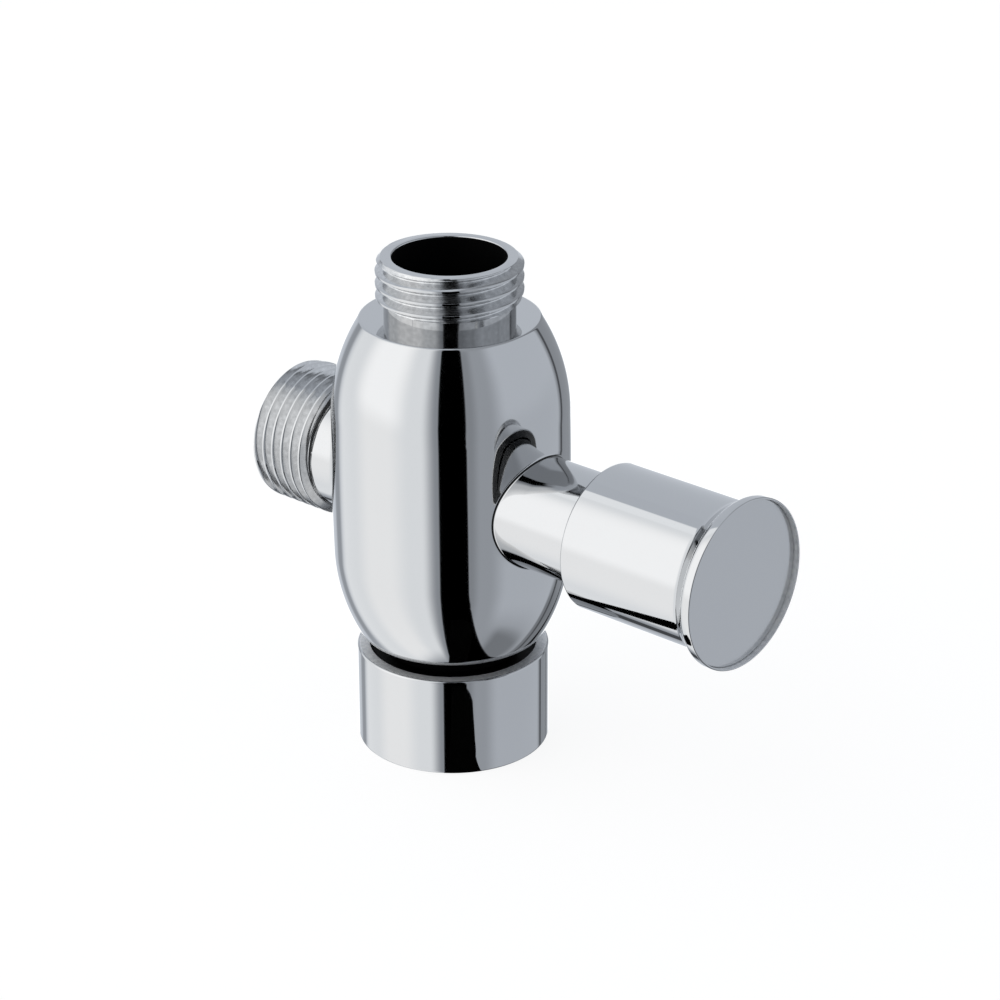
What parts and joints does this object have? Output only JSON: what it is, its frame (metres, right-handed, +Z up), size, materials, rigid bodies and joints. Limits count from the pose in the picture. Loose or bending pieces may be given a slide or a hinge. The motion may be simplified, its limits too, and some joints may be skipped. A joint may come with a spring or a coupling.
{
  "type": "shower diverter valve",
  "caption": "Three-way shower diverter: barrel body with a swivel inlet nut, an upper and a side threaded outlet, and a push-pull knob.",
  "frame": {"origin": "centre of the swivel nut's open face, the inlet", "axes": "+Z up the barrel to the upper outlet, +X along the valve axis to the knob"},
  "size_m": [0.0836, 0.0344, 0.0744],
  "materials": {
    "chrome_plate": "bright chrome plate on brass",
    "bare_brass": "turned brass",
    "steel": "stainless steel",
    "seal_rubber": "black moulded rubber"
  },
  "bodies": {
    "valve": {"valve_body": "chrome_plate", "nut_snap_ring": "steel", "inlet_washer": "seal_rubber", "guide_bush": "bare_brass", "bush_seal_inner": "seal_rubber", "bush_seal_outer": "seal_rubber"},
    "inlet_nut": {"swivel_nut": "chrome_plate"},
    "sliding_seals": {"spindle_seal_inner": "seal_rubber", "spindle_seal_outer": "seal_rubber"},
    "diverter": {"spindle": "bare_brass", "poppet_core": "bare_brass", "poppet_seal_top": "seal_rubber", "poppet_seal_side": "seal_rubber", "poppet_washer_top": "bare_brass", "poppet_washer_side": "bare_brass", "poppet_nut": "steel", "pull_knob": "chrome_plate", "knob_lock_washer": "steel", "knob_screw": "steel", "knob_cap": "chrome_plate"}
  },
  "joints": [
    {"name": "nut_swivel", "type": "hinge", "parent": "valve", "child": "inlet_nut", "pos_m": [0, 0, 0.0136], "axis": [0, 0, 1], "continuous": true},
    {"name": "knob_slide", "type": "slide", "parent": "valve", "child": "sliding_seals", "axis": [1, 0, 0], "range_m": [-0.008, 0]},
    {"name": "knob_turn", "type": "hinge", "parent": "sliding_seals", "child": "diverter", "pos_m": [0.0402, 0, 0.0402], "axis": [1, 0, 0], "continuous": true}
  ]
}
